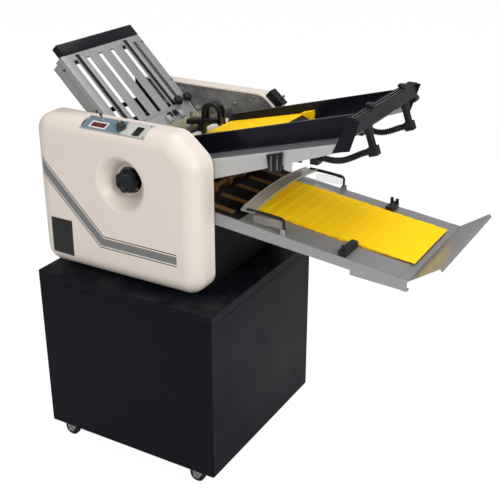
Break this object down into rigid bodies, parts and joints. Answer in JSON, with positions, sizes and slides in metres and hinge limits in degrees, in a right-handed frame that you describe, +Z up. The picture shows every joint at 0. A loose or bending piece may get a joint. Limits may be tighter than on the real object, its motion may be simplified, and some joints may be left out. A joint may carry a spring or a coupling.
{
  "type": "paper folding machine",
  "caption": "Floor-standing paper folder on a wheeled cabinet, with a sloping feed table, slotted fold plate, folding rollers, handwheel and delivery tray.",
  "frame": {"origin": "on the floor, under the middle of the machine's overall box", "axes": "+X the way the folded sheets leave, +Y from the handwheel side to the back, +Z up"},
  "size_m": [1.2089, 0.64, 1.2369],
  "materials": {
    "cabinet_paint": "semi-gloss powder coat",
    "zinc_plate": "zinc plated",
    "caster_tread": "matt",
    "cover_moulding": "satin moulded",
    "pan_steel": "satin",
    "frame_plate": "satin plate",
    "roller_steel": "knurled",
    "feed_tyre": "ground",
    "knob_black": "satin",
    "speed_dial": "gloss",
    "motor_body": "painted",
    "pulley": "turned",
    "belt": "matt",
    "tie_steel": "satin",
    "panel_face": "satin",
    "switch_black": "gloss",
    "toggle_chrome": "polished",
    "plate_sheet": "satin",
    "bar_black": "satin",
    "clear_guide": "clear",
    "table_sheet": "satin",
    "guide_black": "gloss",
    "lead_white": "satin",
    "paper_yellow": "paper",
    "fitting_black": "satin",
    "hose_black": "satin ribbed",
    "tray_aluminium": "satin sheet"
  },
  "bodies": {
    "machine": {"cabinet_shell": "cabinet_paint", "cabinet_top": "cabinet_paint", "caster_mounts": "zinc_plate", "front_cover": "cover_moulding", "rear_cover": "cover_moulding", "base_pan": "pan_steel", "front_side_frame": "frame_plate", "rear_side_frame": "frame_plate", "drive_motor": "motor_body", "drive_belt": "belt", "air_pump": "motor_body", "frame_ties": "tie_steel", "control_panel": "panel_face", "rear_switch_box": "switch_black", "fold_plate": "plate_sheet", "fold_plate_end_bar": "bar_black", "infeed_guide": "clear_guide", "lower_fold_plate": "plate_sheet", "feed_table": "table_sheet", "feed_beam": "bar_black", "hose_fittings": "fitting_black", "near_air_hose": "hose_black", "far_air_hose": "hose_black", "feed_lead_plate": "lead_white", "feed_stack": "paper_yellow", "separator_bar": "tie_steel", "delivery_tray": "tray_aluminium", "folded_sheets": "paper_yellow"},
    "handwheel": {"handwheel": "knob_black", "fold_roller_3": "roller_steel"},
    "fold_roller_1": {"fold_roller_1": "roller_steel"},
    "fold_roller_2": {"fold_roller_2": "roller_steel"},
    "fold_roller_4": {"fold_roller_4": "roller_steel"},
    "delivery_shaft": {"delivery_shaft": "feed_tyre"},
    "motor_pulley": {"motor_pulley": "pulley"},
    "feed_roller": {"feed_roller": "feed_tyre"},
    "caster_fork_1": {"caster_fork_1": "zinc_plate"},
    "caster_wheel_1": {"caster_wheel_1": "caster_tread"},
    "caster_fork_2": {"caster_fork_2": "zinc_plate"},
    "caster_wheel_2": {"caster_wheel_2": "caster_tread"},
    "caster_wheel_3": {"caster_wheel_3": "caster_tread"},
    "caster_wheel_4": {"caster_wheel_4": "caster_tread"},
    "fold_stop": {"fold_stop": "plate_sheet"},
    "lower_fold_stop": {"lower_fold_stop": "plate_sheet"},
    "near_side_guide": {"near_side_guide": "guide_black"},
    "far_side_guide": {"far_side_guide": "guide_black"},
    "near_guide_knob": {"near_guide_knob": "knob_black"},
    "far_guide_knob": {"far_guide_knob": "knob_black"},
    "air_valve_knob": {"air_valve_knob": "knob_black"},
    "speed_knob": {"speed_knob": "speed_dial"},
    "panel_toggle": {"panel_toggle": "toggle_chrome"},
    "power_rocker": {"power_rocker": "switch_black"},
    "rear_toggle": {"rear_toggle": "toggle_chrome"},
    "plate_knob_1": {"plate_knob_1": "knob_black"},
    "plate_knob_2": {"plate_knob_2": "knob_black"},
    "tray_extension": {"tray_extension": "tray_aluminium"},
    "near_stack_guide": {"near_stack_guide": "knob_black"},
    "far_stack_guide": {"far_stack_guide": "knob_black"},
    "delivery_guard": {"delivery_guard": "clear_guide"},
    "separator_arm": {"separator_arm": "bar_black"}
  },
  "joints": [
    {"name": "handwheel_turn", "type": "hinge", "parent": "machine", "child": "handwheel", "pos_m": [-0.301, 0, 0.902], "axis": [0, 1, 0], "continuous": true},
    {"name": "fold_roller_1_turn", "type": "hinge", "parent": "machine", "child": "fold_roller_1", "pos_m": [-0.28522, 0, 0.9626], "axis": [0, 1, 0], "continuous": true},
    {"name": "fold_roller_2_turn", "type": "hinge", "parent": "machine", "child": "fold_roller_2", "pos_m": [-0.31088, 0, 0.93693], "axis": [0, 1, 0], "continuous": true},
    {"name": "fold_roller_4_turn", "type": "hinge", "parent": "machine", "child": "fold_roller_4", "pos_m": [-0.29796, 0, 0.86583], "axis": [0, 1, 0], "continuous": true},
    {"name": "delivery_shaft_turn", "type": "hinge", "parent": "machine", "child": "delivery_shaft", "pos_m": [-0.12, 0, 0.8655], "axis": [0, 1, 0], "continuous": true},
    {"name": "motor_pulley_turn", "type": "hinge", "parent": "machine", "child": "motor_pulley", "pos_m": [-0.43, 0, 0.702], "axis": [0, 1, 0], "continuous": true},
    {"name": "feed_roller_turn", "type": "hinge", "parent": "machine", "child": "feed_roller", "pos_m": [-0.242, 0, 0.911], "axis": [0, 1, 0], "continuous": true},
    {"name": "caster_swivel_1", "type": "hinge", "parent": "machine", "child": "caster_fork_1", "pos_m": [-0.526, -0.283, 0.055], "axis": [0, 0, 1], "continuous": true},
    {"name": "caster_wheel_1_turn", "type": "hinge", "parent": "caster_fork_1", "child": "caster_wheel_1", "pos_m": [-0.541, -0.283, 0.025], "axis": [0, 1, 0], "continuous": true},
    {"name": "caster_swivel_2", "type": "hinge", "parent": "machine", "child": "caster_fork_2", "pos_m": [-0.044, -0.283, 0.055], "axis": [0, 0, 1], "continuous": true},
    {"name": "caster_wheel_2_turn", "type": "hinge", "parent": "caster_fork_2", "child": "caster_wheel_2", "pos_m": [-0.059, -0.283, 0.025], "axis": [0, 1, 0], "continuous": true},
    {"name": "caster_wheel_3_turn", "type": "hinge", "parent": "machine", "child": "caster_wheel_3", "pos_m": [-0.541, 0.243, 0.025], "axis": [0, 1, 0], "continuous": true},
    {"name": "caster_wheel_4_turn", "type": "hinge", "parent": "machine", "child": "caster_wheel_4", "pos_m": [-0.059, 0.243, 0.025], "axis": [0, 1, 0], "continuous": true},
    {"name": "fold_stop_slide", "type": "slide", "parent": "machine", "child": "fold_stop", "axis": [0.7071, 0, -0.7071], "range_m": [0, 0.19]},
    {"name": "lower_fold_stop_slide", "type": "slide", "parent": "machine", "child": "lower_fold_stop", "axis": [0.9622, 0, 0.2723], "range_m": [-0.04, 0.12]},
    {"name": "near_guide_slide", "type": "slide", "parent": "machine", "child": "near_side_guide", "axis": [0, -1, 0], "range_m": [0, 0.05]},
    {"name": "far_guide_slide", "type": "slide", "parent": "machine", "child": "far_side_guide", "axis": [0, 1, 0], "range_m": [0, 0.035]},
    {"name": "near_guide_knob_turn", "type": "hinge", "parent": "near_side_guide", "child": "near_guide_knob", "pos_m": [0.3445, -0.069, 1.163], "axis": [0, 0, 1], "range_deg": [0, 180]},
    {"name": "far_guide_knob_turn", "type": "hinge", "parent": "far_side_guide", "child": "far_guide_knob", "pos_m": [0.3445, 0.147, 1.163], "axis": [0, 0, 1], "range_deg": [0, 180]},
    {"name": "air_valve_turn", "type": "hinge", "parent": "machine", "child": "air_valve_knob", "pos_m": [0.346, 0.24, 1.112], "axis": [0, 1, 0], "range_deg": [0, 270]},
    {"name": "speed_knob_turn", "type": "hinge", "parent": "machine", "child": "speed_knob", "pos_m": [-0.31, -0.23469, 1.0546], "axis": [0, -0.3665, 0.9304], "range_deg": [0, 270]},
    {"name": "panel_toggle_tilt", "type": "hinge", "parent": "machine", "child": "panel_toggle", "pos_m": [-0.391, -0.21552, 1.06323], "axis": [1, 0, 0], "range_deg": [-18, 18]},
    {"name": "power_rocker_tilt", "type": "hinge", "parent": "machine", "child": "power_rocker", "pos_m": [-0.252, -0.23841, 1.05313], "axis": [1, 0, 0], "range_deg": [-9, 0]},
    {"name": "rear_toggle_tilt", "type": "hinge", "parent": "machine", "child": "rear_toggle", "pos_m": [-0.07806, 0.254, 1.0505], "axis": [0, 1, 0], "range_deg": [0, 25]},
    {"name": "plate_knob_1_turn", "type": "hinge", "parent": "machine", "child": "plate_knob_1", "pos_m": [-0.3776, 0.13, 1.029], "axis": [0.7071, 0, 0.7071], "range_deg": [0, 180]},
    {"name": "plate_knob_2_turn", "type": "hinge", "parent": "machine", "child": "plate_knob_2", "pos_m": [-0.3776, 0.178, 1.029], "axis": [0.7071, 0, 0.7071], "range_deg": [0, 180]},
    {"name": "tray_extension_slide", "type": "slide", "parent": "machine", "child": "tray_extension", "axis": [0.9925, 0, -0.1219], "range_m": [0, 0.08]},
    {"name": "near_stack_guide_slide", "type": "slide", "parent": "machine", "child": "near_stack_guide", "axis": [0, -1, 0], "range_m": [0, 0.03]},
    {"name": "far_stack_guide_slide", "type": "slide", "parent": "machine", "child": "far_stack_guide", "axis": [0, 1, 0], "range_m": [0, 0.03]},
    {"name": "delivery_guard_lift", "type": "hinge", "parent": "machine", "child": "delivery_guard", "pos_m": [0.157, 0, 0.822], "axis": [0, 1, 0], "range_deg": [0, 50]},
    {"name": "separator_height", "type": "slide", "parent": "machine", "child": "separator_arm", "axis": [0, 0, 1], "range_m": [0, 0.015]}
  ],
  "couplings": [
    {"joint": "fold_roller_1_turn", "follows": "handwheel_turn", "ratio": 1},
    {"joint": "fold_roller_2_turn", "follows": "handwheel_turn", "ratio": -1},
    {"joint": "fold_roller_4_turn", "follows": "handwheel_turn", "ratio": -1},
    {"joint": "delivery_shaft_turn", "follows": "handwheel_turn", "ratio": -1},
    {"joint": "motor_pulley_turn", "follows": "handwheel_turn", "ratio": -1}
  ]
}
